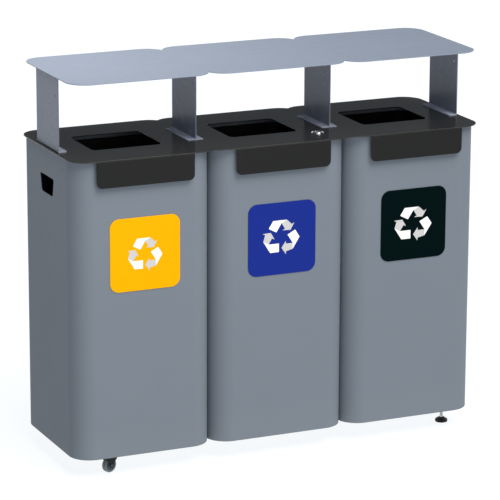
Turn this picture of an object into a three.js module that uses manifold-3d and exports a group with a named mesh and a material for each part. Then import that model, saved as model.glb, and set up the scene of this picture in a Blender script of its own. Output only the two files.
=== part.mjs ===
// Three-module recycling bin station: sheet-metal casings, one hinged top with
// feed openings and front lips, four posts and a canopy, liners, gas struts,
// a key lock, two casters and two levelling feet.
// Millimetres, +Z up, X along the front, +Y towards the rear.
// Origin: on the floor, at the centre of the station.

import * as THREE from 'three';
import { mergeVertices } from 'three/addons/utils/BufferGeometryUtils.js';
import Module from 'manifold-3d';

const wasm = await Module();
wasm.setup();

// ---- driving dimensions ----------------------------------------------------
const GAP = 0.3;                  // clearance between touching pieces
const PITCH = 450;                // module spacing
const DEPTH = 460;                // casing depth
const CORNER = 68;                // casing corner radius
const WALL = 2;                   // casing sheet
const SKIRT_Z = 62;               // casing bottom edge above the floor
const PLATE_TOP = 990;            // top plate upper face
const PLATE_T = 3;                // top plate sheet
const MODULES = [-PITCH, 0, PITCH];
const CURVE_STEPS = 4;            // half the segments in a quarter round
const ROUND = 16;                 // sides of a small cylinder

const PLATE_FRONT = -245;         // top plate front edge
const PLATE_REAR = 234;           // top plate rear edge
const PLATE_SIDE = 681;           // top plate half length
const PLATE_CORNER = 64;
const PLATE_NOTCH = 20;           // depth of the dip between two lobes
const FEED = [225, 200];          // feed opening, along X and Y
const FEED_CORNER = 16;

const CANOPY_FRONT = -231.5;
const CANOPY_REAR = 217.5;
const CANOPY_SIDE = 675;
const CANOPY_NOTCH = 43;
const CANOPY_TOP = 1220;

const SHEET = 3;                  // post and canopy sheet
const POST_DEPTH = 184;
const POST_FOOT = 26;             // foot flange width
const END_POST_X = 669.5;         // outer face of an end post
const MIDDLE_POST_X = 225;
const POST_HOLE = { fromFront: 22, belowTop: 57, r: 3.5 };

const LIP = { width: 313, height: 80, corner: 17, sheet: 2, flange: 12 };
const SIGN = { size: 226, corner: 29, sheet: 1.5, z: 692.5 };
const HAND_HOLE = { top: 58, bottom: 47.5, height: 56, corner: 10, y: -4, z: 874.5 };

const TRAY_Z = 70.3;              // underside of the floor tray
const TRAY_T = 2.5;
const TRAY_UPSTAND = 22;
const RIM = { leg: 22, flange: 15, sheet: 2 };
const LINER = { x: 170, y: 175, taper: 0.9, wall: 3, rim: 9, rimT: 4, top: 955, corner: 45 };

const TIE = { y: 120, z: 900, hole: 4.4, shank: 4, head: 6.5, headT: 5, reach: 9 };
const HINGE = { y: 239, z: 981, r: 6, bore: 2.6, pin: 2.4, length: 120, knuckleGap: 1 };
const CASING_LEAF = { sheet: 2, low: -56, high: -6.6 };
const LID_LEAF = { rear: -5.5, sheet: 2, low: 3.4 };
const PIN_HEAD = { r: 4.5, thick: 2, clear: 0.4 };
const HINGE_X = [-PITCH, PITCH];
const STRUT = { x: 643, lower: [179, 741], upper: [159, 959], r: 9, bore: 4.6, rod: 4, eye: 7.5, stud: 3.8 };
const EYE_THICK = 6;
const BARREL = { low: 14, high: 172, boreFrom: 40, neck: 4 };
const BRACKET = { sheet: 3, footFront: -50, footHalf: 24, webHalf: 10, web: -17, ear: 9, earX: -5 };
const LID_BRACKET = { sheet: 3, legX: 7, half: 11, low: -8, studEnd: 3.6 };
const LOCK = { x: 158, y: -146, bezel: 18, recess: 12.5, sleeve: 9.5, plug: 6.8, sides: 24 };
const LOCK_Z = { sleeve: -9, floor: 1.5, rim: 4, plug: -14 };
const LOCK_GRIP = { halfWidth: 2.5, halfLength: 10.5, low: 1.8, high: 5 };
const LOCK_CAM = { half: 7, reach: 50, low: -12, high: -9.4 };

const CASTER = { x: -539, y: 172, turn: -69, wheelR: 23, wheelW: 17, trail: 12, axle: 3 };
const CASTER_PLATE = { size: 46, corner: 5, thick: 2.5, housingR: 14, housingLow: 61 };
const FORK = { reach: 33, hood: 48, nick: 5, halfTop: 22, low: 55.5, high: 58, boss: 7, sheet: 2, clear: 0.8 };
const CROWN = { r: 21, raceR: 15, raceTop: 60.6 };
const HUB = { inner: 7, web: 8, webEnd: 15, rim: 16.5, recess: 2.5, shoulder: 3 };
const AXLE_HEAD = { r: 4, thick: 1.6, out: 4.6 };
const FOOT = { x: 610, y: 142, padR: 20, stud: 5, studLow: 4.3, studTop: 96 };
const PAD = { flat: 18.5, edge: 1.5, side: 6.5, shoulder: 9, neckR: 10, top: 14.5, socketFloor: 4 };
const COLLAR = { r: 6.4, low: 16, high: 20 };
const NUT = { r: 9.5, thick: 8 };

// ---- colours and finishes ---------------------------------------------------
const finish = (color, roughness, metalness) => ({ color, roughness, metalness });
const GREY_PAINT = finish(0x838c94, 0.5, 0.3);
const SILVER_PAINT = finish(0xa4aec2, 0.45, 0.3);
const BLACK_PAINT = finish(0x343636, 0.35, 0.2);
const ZINC = finish(0xb4b8bc, 0.35, 0.9);
const STEEL = finish(0xc8cacc, 0.25, 1.0);
const LINER_BLACK = finish(0x101112, 0.6, 0.0);
const NYLON_BLACK = finish(0x18191a, 0.5, 0.0);
const RUBBER_GREY = finish(0x5f6a70, 0.6, 0.0);
const STRUT_BLACK = finish(0x1c1c1e, 0.3, 0.2);
const SIGN_COLOURS = [finish(0xf9be0a, 0.4, 0), finish(0x24348a, 0.4, 0), finish(0x001114, 0.4, 0)];

const station = new THREE.Group();

function add(name, geometry, look, parent = station) {
  const mesh = new THREE.Mesh(geometry, new THREE.MeshStandardMaterial(look));
  mesh.name = name;
  parent.add(mesh);
  return mesh;
}

// ---- solids -----------------------------------------------------------------
function toSolid(geometry) {
  const bare = geometry.index ? geometry.toNonIndexed() : geometry.clone();
  bare.deleteAttribute('normal');
  bare.deleteAttribute('uv');
  const merged = mergeVertices(bare, 1e-4);
  return new wasm.Manifold(new wasm.Mesh({
    numProp: 3,
    vertProperties: new Float32Array(merged.attributes.position.array),
    triVerts: new Uint32Array(merged.index.array),
  }));
}

function toGeometry(solid) {
  const mesh = solid.getMesh();
  const geometry = new THREE.BufferGeometry();
  geometry.setAttribute('position', new THREE.BufferAttribute(new Float32Array(mesh.vertProperties), 3));
  geometry.setIndex(new THREE.BufferAttribute(new Uint32Array(mesh.triVerts), 1));
  geometry.computeVertexNormals();
  return geometry;
}

const join = (...parts) => toGeometry(parts.map(toSolid).reduce((a, b) => a.add(b)));
const cut = (body, ...tools) =>
  toGeometry(tools.map(toSolid).reduce((a, b) => a.subtract(b), toSolid(body)));
const common = (a, b) => toGeometry(toSolid(a).intersect(toSolid(b)));

/** The mirror image across the YZ plane, with its faces turned outwards again. */
function mirrorX(geometry) {
  const image = geometry.clone().scale(-1, 1, 1);
  const index = image.index.array;
  for (let i = 0; i < index.length; i += 3) [index[i], index[i + 1]] = [index[i + 1], index[i]];
  return image;
}

/** A box between two corners. */
function box([x0, y0, z0], [x1, y1, z1]) {
  const g = new THREE.BoxGeometry(x1 - x0, y1 - y0, z1 - z0);
  return g.translate((x0 + x1) / 2, (y0 + y1) / 2, (z0 + z1) / 2);
}

/** A cylinder along Z between two heights. */
function rod(r, z0, z1, x = 0, y = 0, sides = ROUND) {
  const g = new THREE.CylinderGeometry(r, r, z1 - z0, sides);
  return g.rotateX(Math.PI / 2).translate(x, y, (z0 + z1) / 2);
}

/** A cylinder along X between two places. */
function rodX(r, x0, x1, y, z, sides = ROUND) {
  const g = new THREE.CylinderGeometry(r, r, x1 - x0, sides);
  return g.rotateZ(Math.PI / 2).translate((x0 + x1) / 2, y, z);
}

/** A plate of the shape, from z0 up to z1. */
function slab(shape, z0, z1, curveSegments = CURVE_STEPS) {
  const g = new THREE.ExtrudeGeometry(shape, { depth: z1 - z0, bevelEnabled: false, curveSegments });
  return g.translate(0, 0, z0);
}

/** Rectangle with rounded corners, centred on (cx, cy). */
function roundedRect(width, height, r, cx = 0, cy = 0) {
  const [x0, x1, y0, y1] = [cx - width / 2, cx + width / 2, cy - height / 2, cy + height / 2];
  const s = new THREE.Shape();
  s.moveTo(x0 + r, y0);
  s.lineTo(x1 - r, y0);
  s.absarc(x1 - r, y0 + r, r, -Math.PI / 2, 0, false);
  s.lineTo(x1, y1 - r);
  s.absarc(x1 - r, y1 - r, r, 0, Math.PI / 2, false);
  s.lineTo(x0 + r, y1);
  s.absarc(x0 + r, y1 - r, r, Math.PI / 2, Math.PI, false);
  s.lineTo(x0, y0 + r);
  s.absarc(x0 + r, y0 + r, r, Math.PI, 1.5 * Math.PI, false);
  return s;
}

/** The casing's outline, pulled in all round by an inset. */
function casingOutline(inset) {
  const width = PITCH - GAP - 2 * inset;
  return roundedRect(width, DEPTH - 2 * inset, CORNER - inset);
}

/** A ring that follows the casing's outline. */
function casingRing(outer, inner, z0, z1) {
  const shape = casingOutline(outer);
  shape.holes.push(casingOutline(inner));
  return slab(shape, z0, z1);
}

/** Three lobes in a row, one above each module, with a dip between neighbours. */
function lobedOutline(side, front, rear, r, dip) {
  const s = new THREE.Shape();
  const turn = Math.acos(1 - dip / r);
  const reach = r * Math.sin(turn);
  const joints = [-PITCH / 2, PITCH / 2];
  s.moveTo(-side + r, front);
  for (const x of joints) {
    s.absarc(x - reach, front + r, r, -Math.PI / 2, -Math.PI / 2 + turn, false);
    s.absarc(x + reach, front + r, r, -Math.PI / 2 - turn, -Math.PI / 2, false);
  }
  s.absarc(side - r, front + r, r, -Math.PI / 2, 0, false);
  s.absarc(side - r, rear - r, r, 0, Math.PI / 2, false);
  for (const x of [...joints].reverse()) {
    s.absarc(x + reach, rear - r, r, Math.PI / 2, Math.PI / 2 + turn, false);
    s.absarc(x - reach, rear - r, r, Math.PI / 2 - turn, Math.PI / 2, false);
  }
  s.absarc(-side + r, rear - r, r, Math.PI / 2, Math.PI, false);
  s.absarc(-side + r, front + r, r, Math.PI, 1.5 * Math.PI, false);
  return s;
}

// ---- casings ------------------------------------------------------------------
/** A hand hole through an end wall: a trapezoid with round corners, wider at the top. */
function handHoleTool(x) {
  const { top, bottom, height, corner, y, z } = HAND_HOLE;
  const h = height / 2;
  const points = [[-bottom, -h], [bottom, -h], [top, h], [-top, h]].map((p) => new THREE.Vector2(...p));
  const s = new THREE.Shape();
  points.forEach((p, i) => {
    const before = points[(i + 3) % 4].clone().sub(p).setLength(corner).add(p);
    const after = points[(i + 1) % 4].clone().sub(p).setLength(corner).add(p);
    if (i === 0) s.moveTo(before.x, before.y);
    else s.lineTo(before.x, before.y);
    s.quadraticCurveTo(p.x, p.y, after.x, after.y);
  });
  const g = slab(s, -20, 20);
  return g.rotateX(Math.PI / 2).rotateZ(Math.PI / 2).translate(x, y, z);
}

function casingHalf(side, moduleX) {
  const ring = casingRing(0, WALL, SKIRT_Z, PLATE_TOP - PLATE_T - GAP);
  const [y0, y1] = side === 'front' ? [-DEPTH, -GAP / 2] : [GAP / 2, DEPTH];
  let half = common(ring, box([-PITCH, y0, 0], [PITCH, y1, PLATE_TOP]));
  for (const end of [-1, 1]) {
    const wall = end * PITCH / 2;
    if (moduleX === end * PITCH) half = cut(half, handHoleTool(wall));
    else if (side === 'rear') {
      half = cut(half, rodX(TIE.hole, wall - TIE.reach, wall + TIE.reach, TIE.y, TIE.z));
    }
  }
  return half;
}

/** Rim inside the casing's top: a leg on the wall and a flange under the top plate. */
function topRim() {
  const top = PLATE_TOP - PLATE_T - GAP;
  const outer = WALL + GAP;
  const leg = casingRing(outer, outer + RIM.sheet, top - RIM.leg, top);
  const flange = casingRing(outer, outer + RIM.flange, top - RIM.sheet, top);
  return join(leg, flange);
}

/** Floor tray with an upstand that is screwed to the casing. */
function floorTray(moduleX) {
  const outer = WALL + GAP;
  const floor = slab(casingOutline(outer), TRAY_Z, TRAY_Z + TRAY_T);
  const upstand = casingRing(outer, outer + TRAY_T, TRAY_Z, TRAY_Z + TRAY_UPSTAND);
  const tray = join(floor, upstand);
  if (moduleX !== PITCH) return tray;
  const holes = [-1, 1].map((s) => rod(FOOT.stud + 2 * GAP, SKIRT_Z, PLATE_TOP, FOOT.x - PITCH, s * FOOT.y));
  return cut(tray, ...holes);
}

/** Lift-out liner: a tapered, rounded box with a wall and a rim round its mouth. */
function liner() {
  const floor = TRAY_Z + TRAY_T + GAP;
  const taper = (geometry) => {
    const p = geometry.attributes.position;
    for (let i = 0; i < p.count; i += 1) {
      const rise = (p.getZ(i) - floor) / (LINER.top - floor);
      const scale = LINER.taper + (1 - LINER.taper) * rise;
      p.setXY(i, p.getX(i) * scale, p.getY(i) * scale);
    }
    return geometry;
  };
  const outline = (grow) => roundedRect(2 * (LINER.x + grow), 2 * (LINER.y + grow), LINER.corner + grow);
  const body = taper(slab(outline(0), floor, LINER.top, 3));
  const rim = slab(outline(LINER.rim), LINER.top - LINER.rimT, LINER.top, 3);
  const hollow = taper(slab(outline(-LINER.wall), floor + LINER.wall, LINER.top + 1, 3));
  return toGeometry(toSolid(body).add(toSolid(rim)).subtract(toSolid(hollow)));
}

/** Bolt and nut that clamp two neighbouring casings together. */
function tieBolt() {
  const grip = WALL + GAP / 2 + GAP;
  const shank = rodX(TIE.shank, -grip - TIE.headT, grip + TIE.headT + 3, 0, 0, 16);
  const head = rodX(TIE.head, -grip - TIE.headT, -grip, 0, 0, 6);
  const nut = rodX(TIE.head, grip, grip + TIE.headT, 0, 0, 6);
  return join(shank, head, nut);
}

MODULES.forEach((x, i) => {
  const place = (mesh) => { mesh.position.x = x; };
  const n = i + 1;
  place(add(`module_${n}_front_casing`, casingHalf('front', x), GREY_PAINT));
  place(add(`module_${n}_rear_casing`, casingHalf('rear', x), GREY_PAINT));
  place(add(`module_${n}_top_rim`, topRim(), ZINC));
  place(add(`module_${n}_floor_tray`, floorTray(x), ZINC));
  place(add(`module_${n}_liner`, liner(), LINER_BLACK));
});
[-1, 1].forEach((side, i) => {
  const bolt = add(`tie_bolt_${i + 1}`, tieBolt(), ZINC);
  bolt.position.set(side * PITCH / 2, TIE.y, TIE.z);
});

// ---- top plate, lips and signs ---------------------------------------------------
function topPlate() {
  const outline = lobedOutline(PLATE_SIDE, PLATE_FRONT, PLATE_REAR, PLATE_CORNER, PLATE_NOTCH);
  for (const x of MODULES) outline.holes.push(roundedRect(FEED[0], FEED[1], FEED_CORNER, x, 0));
  const plate = slab(outline, PLATE_TOP - PLATE_T, PLATE_TOP);
  return cut(plate, rod(LOCK.sleeve + GAP, 0, 2 * PLATE_TOP, LOCK.x, LOCK.y));
}

/** Front lip: a hanging sheet with round lower corners and a short top flange. */
function frontLip() {
  const { width, height, corner, sheet, flange } = LIP;
  const w = width / 2;
  const s = new THREE.Shape();
  s.moveTo(-w, 0);
  s.lineTo(-w, -height + corner);
  s.absarc(-w + corner, -height + corner, corner, Math.PI, 1.5 * Math.PI, false);
  s.absarc(w - corner, -height + corner, corner, -Math.PI / 2, 0, false);
  s.lineTo(w, 0);
  const face = slab(s, -sheet, 0).rotateX(Math.PI / 2);
  const top = box([-w, 0, -sheet], [w, flange, 0]);
  return join(face, top);
}

function signPlate() {
  return slab(roundedRect(SIGN.size, SIGN.size, SIGN.corner), 0, SIGN.sheet).rotateX(Math.PI / 2);
}

add('top_plate', topPlate(), BLACK_PAINT);
MODULES.forEach((x, i) => {
  const lip = add(`front_lip_${i + 1}`, frontLip(), BLACK_PAINT);
  lip.position.set(x, PLATE_FRONT, PLATE_TOP - PLATE_T - GAP);
  const sign = add(`sign_plate_${i + 1}`, signPlate(), SIGN_COLOURS[i]);
  sign.position.set(x, -DEPTH / 2 - GAP, SIGN.z);
});

// ---- posts and canopy --------------------------------------------------------------
const POST_BASE = PLATE_TOP + GAP;
const POST_TOP = CANOPY_TOP - SHEET - GAP;

/** Upright sheet with foot and head flanges on the chosen sides, and a small hole. */
function post(flangeSides) {
  const d = POST_DEPTH / 2;
  const half = SHEET / 2;
  const parts = [box([-half, -d, POST_BASE], [half, d, POST_TOP])];
  for (const side of flangeSides) {
    const [x0, x1] = side < 0 ? [-POST_FOOT, 0] : [0, POST_FOOT];
    for (const z of [POST_BASE, POST_TOP - SHEET]) parts.push(box([x0, -d, z], [x1, d, z + SHEET]));
  }
  const hole = rodX(POST_HOLE.r, -9, 9, -d + POST_HOLE.fromFront, POST_TOP - POST_HOLE.belowTop);
  return cut(join(...parts), hole);
}

const postPlaces = [
  { x: -END_POST_X + SHEET / 2, flanges: [1] },
  { x: -MIDDLE_POST_X, flanges: [-1, 1] },
  { x: MIDDLE_POST_X, flanges: [-1, 1] },
  { x: END_POST_X - SHEET / 2, flanges: [-1] },
];
postPlaces.forEach(({ x, flanges }, i) => {
  add(`canopy_post_${i + 1}`, post(flanges), SILVER_PAINT).position.x = x;
});
const canopyOutline = lobedOutline(CANOPY_SIDE, CANOPY_FRONT, CANOPY_REAR, PLATE_CORNER, CANOPY_NOTCH);
add('canopy', slab(canopyOutline, CANOPY_TOP - SHEET, CANOPY_TOP), SILVER_PAINT);

// ---- hinges -------------------------------------------------------------------------
/** Knuckle along X: a barrel with a web that reaches its leaf. */
function knuckle(x0, x1, webLow, webHigh) {
  return [rodX(HINGE.r, x0, x1, 0, 0), box([x0, webLow[0], webLow[1]], [x1, webHigh[0], webHigh[1]])];
}

/** Cutter for the pin's bore, longer than the hinge. */
const pinBore = () => rodX(HINGE.bore, -HINGE.length, HINGE.length, 0, 0);

/** The leaf screwed to the casing's rear wall, with the two outer knuckles. */
function casingLeaf() {
  const h = HINGE.length / 2;
  const inner = HINGE.length / 6 + HINGE.knuckleGap / 2;
  const face = DEPTH / 2 + GAP - HINGE.y;
  const leaf = box([-h, face, CASING_LEAF.low], [h, face + CASING_LEAF.sheet, CASING_LEAF.high]);
  const ends = [[-h, -inner], [inner, h]];
  const knuckles = ends.flatMap(([a, b]) => knuckle(a, b, [face, CASING_LEAF.high], [0, 0]));
  return cut(join(leaf, ...knuckles), pinBore());
}

/** The leaf under the top plate's rear edge, with the middle knuckle. */
function lidLeaf() {
  const h = HINGE.length / 2;
  const outer = HINGE.length / 6 - HINGE.knuckleGap / 2;
  const top = PLATE_TOP - PLATE_T - GAP - HINGE.z;
  const front = LID_LEAF.rear - LID_LEAF.sheet;
  const strip = box([-h, front, LID_LEAF.low], [h, LID_LEAF.rear, top]);
  return cut(join(strip, ...knuckle(-outer, outer, [front, 0], [0, top])), pinBore());
}

function hingePin() {
  const h = HINGE.length / 2;
  const head = h + PIN_HEAD.clear;
  return join(rodX(HINGE.pin, -h - 1, h + 1, 0, 0), rodX(PIN_HEAD.r, head, head + PIN_HEAD.thick, 0, 0));
}

HINGE_X.forEach((x, i) => {
  const at = new THREE.Group();
  at.position.set(x, HINGE.y, HINGE.z);
  station.add(at);
  const n = i + 1;
  add(`hinge_${n}_casing_leaf`, casingLeaf(), ZINC, at);
  add(`hinge_${n}_lid_leaf`, lidLeaf(), BLACK_PAINT, at);
  add(`hinge_${n}_pin`, hingePin(), STEEL, at);
});

// ---- gas struts ------------------------------------------------------------------------
const strutLean = Math.atan2(STRUT.lower[0] - STRUT.upper[0], STRUT.upper[1] - STRUT.lower[1]);
const strutLength = Math.hypot(STRUT.lower[0] - STRUT.upper[0], STRUT.upper[1] - STRUT.lower[1]);

/** Flat eye at the end of a strut part, and the cutter for its hole along X. */
const eye = (z) => [
  rodX(STRUT.eye, -EYE_THICK / 2, EYE_THICK / 2, 0, z),
  rodX(STRUT.stud + 0.1, -EYE_THICK, EYE_THICK, 0, z),
];

function strutCylinder() {
  const [lug, hole] = eye(0);
  const neck = rod(BARREL.neck, EYE_THICK / 2, BARREL.low + 2);
  const barrel = rod(STRUT.r, BARREL.low, BARREL.high);
  const bore = rod(STRUT.bore, BARREL.boreFrom, strutLength);
  return cut(join(lug, neck, barrel), hole, bore);
}

function strutRod() {
  const [lug, hole] = eye(strutLength);
  return cut(join(lug, rod(STRUT.rod, BARREL.boreFrom + 30, strutLength - 4)), hole);
}

/** Bracket on the end casing's wall: a foot, a web and an ear with the cylinder's stud. */
function casingBracket() {
  const { sheet, footFront, footHalf, webHalf, web, ear, earX } = BRACKET;
  const wall = STRUT.x - (1.5 * PITCH - GAP / 2 - WALL - GAP);
  const foot = box([wall, footFront, -footHalf], [wall + sheet, web, footHalf]);
  const bridge = box([wall, web - sheet, -webHalf], [earX, web, webHalf]);
  const lug = box([earX - sheet, web - sheet, -webHalf], [earX, ear, webHalf]);
  return join(foot, bridge, lug, rodX(STRUT.stud, earX - 1, EYE_THICK / 2 + 1, 0, 0));
}

/** Bracket under the top plate: its stud ends just short of the rod's eye. */
function lidBracket() {
  const { sheet, legX, half, low, studEnd } = LID_BRACKET;
  const top = PLATE_TOP - PLATE_T - GAP - STRUT.upper[1];
  const leg = box([legX, -half, low], [legX + sheet, half, top]);
  const flange = box([low, -half, top - sheet], [legX + sheet, half, top]);
  return join(leg, flange, rodX(STRUT.stud, studEnd, legX + 2, 0, 0));
}

['left', 'right'].forEach((name, i) => {
  const side = i === 0 ? -1 : 1;
  const handed = (geometry) => (side < 0 ? geometry : mirrorX(geometry));
  const lower = new THREE.Group();
  lower.position.set(side * STRUT.x, STRUT.lower[0], STRUT.lower[1]);
  const upper = new THREE.Group();
  upper.position.set(side * STRUT.x, STRUT.upper[0], STRUT.upper[1]);
  const strut = new THREE.Group();
  strut.rotation.x = strutLean;
  lower.add(strut);
  station.add(lower, upper);
  add(`strut_${name}_cylinder`, strutCylinder(), STRUT_BLACK, strut);
  add(`strut_${name}_rod`, strutRod(), STEEL, strut);
  add(`strut_${name}_casing_bracket`, handed(casingBracket()), ZINC, lower);
  add(`strut_${name}_lid_bracket`, handed(lidBracket()), ZINC, upper);
});

// ---- key lock -----------------------------------------------------------------------------
/** Bezel with a round recess on the plate, and a sleeve through the plate. */
function lockCase() {
  const turned = (r, z0, z1) => rod(r, z0, z1, 0, 0, LOCK.sides);
  const ring = turned(LOCK.bezel, GAP, LOCK_Z.rim);
  const sleeve = turned(LOCK.sleeve, LOCK_Z.sleeve, 1);
  const recess = turned(LOCK.recess, LOCK_Z.floor, 2 * LOCK_Z.rim);
  return cut(join(ring, sleeve), recess, turned(LOCK.plug + 0.2, -PITCH, PITCH));
}

/** Turning plug with a grip bar on top, and the cam that reaches under the rim. */
function lockPlug() {
  const plug = rod(LOCK.plug, LOCK_Z.plug, LOCK_GRIP.low + 1, 0, 0, LOCK.sides);
  const { halfWidth, halfLength, low, high } = LOCK_GRIP;
  const grip = box([-halfWidth, -halfLength, low], [halfWidth, halfLength, high]);
  const cam = LOCK_CAM;
  const arm = box([-cam.half, -cam.half, cam.low], [cam.half, cam.reach, cam.high]);
  return join(plug, grip, arm, rod(cam.half, cam.low, cam.high, 0, cam.reach));
}

const lock = new THREE.Group();
lock.position.set(LOCK.x, LOCK.y, PLATE_TOP);
station.add(lock);
add('lock_case', lockCase(), STEEL, lock);
add('lock_plug', lockPlug(), STEEL, lock);

// ---- casters ------------------------------------------------------------------------------
/** Mounting plate with the round swivel housing below it. */
function casterPlate() {
  const { size, corner, thick, housingR, housingLow } = CASTER_PLATE;
  const top = TRAY_Z - GAP;
  const plate = slab(roundedRect(size, size, corner), top - thick, top, 2);
  return join(plate, rod(housingR, housingLow, top - 1));
}

/** Fork: a round crown and two legs, wide over the wheel, that narrow down to the axle. */
function casterFork() {
  const { reach, hood, nick, halfTop, low, high, boss, sheet, clear } = FORK;
  const { trail, wheelR, wheelW, axle } = CASTER;
  const inner = wheelW / 2 + clear;
  const s = new THREE.Shape();
  s.moveTo(-reach, high);
  s.lineTo(-reach, hood);
  s.lineTo(-reach + nick, hood - nick);
  s.lineTo(-trail - boss, wheelR);
  s.absarc(-trail, wheelR, boss, Math.PI, 2 * Math.PI, false);
  s.lineTo(halfTop, low);
  s.lineTo(halfTop, high);
  const legs = [-inner - sheet, inner].map((x) => {
    const leg = slab(s, 0, sheet);
    return leg.rotateX(Math.PI / 2).rotateZ(Math.PI / 2).translate(x, 0, 0);
  });
  const crown = rod(CROWN.r, low, high, 0, 0, 2 * ROUND);
  const fork = join(crown, rod(CROWN.raceR, low, CROWN.raceTop), ...legs);
  return cut(fork, rodX(axle + 0.1, -PITCH, PITCH, -trail, wheelR));
}

/** Wheel: a round-shouldered tread, hollowed round the hub, with an axle bore. */
function casterWheel() {
  const { wheelR: r, wheelW: w, axle, trail } = CASTER;
  const { inner, web, webEnd, rim, recess, shoulder } = HUB;
  const h = w / 2;
  const half = [[inner, h], [web, h - recess], [webEnd, h - recess], [rim, h], [r - shoulder, h],
    [r - shoulder * 0.3, h - shoulder * 0.35], [r, h - shoulder * 1.2]];
  const bore = axle + GAP / 2;
  const far = half.map(([x, y]) => [x, -y]);
  const corners = [[bore, -h], ...far, ...half.reverse(), [bore, h], [bore, -h]];
  const profile = corners.map((p) => new THREE.Vector2(...p));
  return new THREE.LatheGeometry(profile, 28).rotateZ(Math.PI / 2).translate(0, -trail, r);
}

function casterAxle() {
  const end = CASTER.wheelW / 2 + AXLE_HEAD.out;
  const { axle, trail, wheelR } = CASTER;
  const places = [[-end, -end + AXLE_HEAD.thick], [end - AXLE_HEAD.thick, end]];
  const heads = places.map(([a, b]) => rodX(AXLE_HEAD.r, a, b, -trail, wheelR));
  return join(rodX(axle, -end, end, -trail, wheelR), ...heads);
}

['front', 'rear'].forEach((name, i) => {
  const at = new THREE.Group();
  at.position.set(CASTER.x, (i === 0 ? -1 : 1) * CASTER.y, 0);
  at.rotation.z = THREE.MathUtils.degToRad(CASTER.turn);
  station.add(at);
  add(`caster_${name}_plate`, casterPlate(), ZINC, at);
  add(`caster_${name}_fork`, casterFork(), NYLON_BLACK, at);
  add(`caster_${name}_wheel`, casterWheel(), RUBBER_GREY, at);
  add(`caster_${name}_axle`, casterAxle(), STEEL, at);
});

// ---- levelling feet ---------------------------------------------------------------------
/** Moulded pad with a sloping shoulder and a blind socket for the stud. */
function footPad() {
  const { flat, edge, side, shoulder, neckR, top, socketFloor } = PAD;
  const r = FOOT.padR;
  const socket = FOOT.stud + GAP;
  const profile = [[0, 0], [flat, 0], [r, edge], [r, side], [r - 2, shoulder], [neckR, top], [socket, top],
    [socket, socketFloor], [0, socketFloor]].map((p) => new THREE.Vector2(...p));
  return new THREE.LatheGeometry(profile, 24).rotateX(Math.PI / 2);
}

function footStud() {
  return join(rod(FOOT.stud, FOOT.studLow, FOOT.studTop), rod(COLLAR.r, COLLAR.low, COLLAR.high, 0, 0, 6));
}

/** Hexagon nut on the tray. */
function footNut() {
  const floor = TRAY_Z + TRAY_T + GAP;
  return cut(rod(NUT.r, floor, floor + NUT.thick, 0, 0, 6), rod(FOOT.stud + GAP, 0, PLATE_TOP));
}

['front', 'rear'].forEach((name, i) => {
  const at = new THREE.Group();
  at.position.set(FOOT.x, (i === 0 ? -1 : 1) * FOOT.y, 0);
  station.add(at);
  add(`foot_${name}_pad`, footPad(), NYLON_BLACK, at);
  add(`foot_${name}_stud`, footStud(), ZINC, at);
  add(`foot_${name}_nut`, footNut(), ZINC, at);
});

export default station;
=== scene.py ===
"""Recycling bin station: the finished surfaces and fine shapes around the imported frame.

Metres, X along the front, +Y to the rear, +Z up. Sizes come from the frame's own boxes; what the frame
doesn't say is a named value here. Each piece is modelled as on a bench: a blank, cut, folded and rounded.
"""
import math

import bmesh
import bpy
from mathutils import Matrix, Vector


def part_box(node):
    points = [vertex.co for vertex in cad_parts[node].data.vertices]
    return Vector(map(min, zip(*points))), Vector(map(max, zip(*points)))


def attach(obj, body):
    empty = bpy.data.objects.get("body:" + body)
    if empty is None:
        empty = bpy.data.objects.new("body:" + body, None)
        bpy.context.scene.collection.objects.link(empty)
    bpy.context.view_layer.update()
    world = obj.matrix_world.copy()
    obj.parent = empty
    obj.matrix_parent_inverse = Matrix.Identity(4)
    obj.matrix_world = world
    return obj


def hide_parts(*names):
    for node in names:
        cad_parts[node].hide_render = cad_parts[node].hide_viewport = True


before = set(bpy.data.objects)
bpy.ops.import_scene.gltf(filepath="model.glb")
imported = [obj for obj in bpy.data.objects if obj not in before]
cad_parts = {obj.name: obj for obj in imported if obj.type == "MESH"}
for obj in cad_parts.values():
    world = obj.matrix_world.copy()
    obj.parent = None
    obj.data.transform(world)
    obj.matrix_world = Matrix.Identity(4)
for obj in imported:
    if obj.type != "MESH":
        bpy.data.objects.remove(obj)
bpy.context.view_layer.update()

MM = 0.001
GAP = 0.3 * MM
MODULES = (1, 2, 3)
# The place that stands an outline up: its first axis along Y, its second along Z, its thickness along X.
UPRIGHT = Matrix(((0, 0, 1, 0), (1, 0, 0, 0), (0, 1, 0, 0), (0, 0, 0, 1)))
SCENE = bpy.context.scene

# ---- sizes of the station that its boxes don't say -------------------------------
CASING_CORNER = 68 * MM
CASING_SHEET = 2 * MM
PLATE_CORNER = 64 * MM
PLATE_DIP = 20 * MM
CANOPY_DIP = 43 * MM
FEED_HALF = Vector((112.5, 100, 30)) * MM
FEED_CORNER = 16 * MM
CORNER_CUTS = 14
SEAM_ROUND = 0.9 * MM
EDGE_ROUND = 0.5 * MM
HAND_HOLE_TOP = 58 * MM
HAND_HOLE_BOTTOM = 47.5 * MM
HAND_HOLE_HALF_HEIGHT = 28 * MM
HAND_HOLE_CORNER = 8 * MM
HAND_HOLE_Y = -4 * MM
HAND_HOLE_Z = 874.5 * MM
LIP_CORNER = 17 * MM
LIP_SHEET = 2 * MM
BEND = 3 * MM
SHEET = 3 * MM
POST_HOLE_RADIUS = 3.5 * MM
POST_HOLE_FROM_FRONT = 22 * MM
POST_HOLE_BELOW_TOP = 57 * MM
MIDDLE_POST_OVER = 40 * MM
RIM_FLANGE = 15 * MM
TRAY_SHEET = 2.5 * MM
DRAIN_PITCH = 90 * MM
LINER_WALL = 2.6 * MM
LOCK_HOLE = 9.8 * MM
SIGN_CORNER = 29 * MM
LOOP_PRINT = 0.35 * MM
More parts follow.
